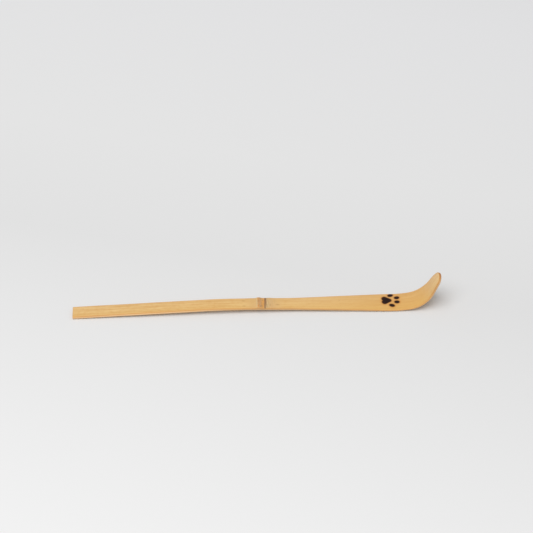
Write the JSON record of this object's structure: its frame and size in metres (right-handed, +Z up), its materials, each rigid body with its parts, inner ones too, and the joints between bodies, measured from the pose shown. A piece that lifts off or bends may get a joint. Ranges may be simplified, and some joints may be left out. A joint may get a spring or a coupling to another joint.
{
  "type": "chashaku tea scoop",
  "caption": "Slender bamboo strip with a node at its middle and an upturned, round-nosed scoop, for lifting powdered tea; a paw print is burnt into the scoop.",
  "frame": {"origin": "on the table under the middle of the strip's box", "axes": "+X along the strip from the cut end to the scoop's tip, +Y across it, +Z up from the table, on which the strip lies on its cut end and its belly with the skin side up"},
  "size_m": [0.18, 0.011, 0.0194],
  "materials": {
    "bamboo": "satin cured bamboo skin",
    "scar": "matt corky fibre",
    "char": "matt charred bamboo"
  },
  "bodies": {
    "root": {"bamboo_strip": "bamboo", "sheath_scar": "scar", "paw_palm_pad": "char", "paw_toe_far_outer": "char", "paw_toe_far_inner": "char", "paw_toe_near_inner": "char", "paw_toe_near_outer": "char"}
  },
  "joints": []
}
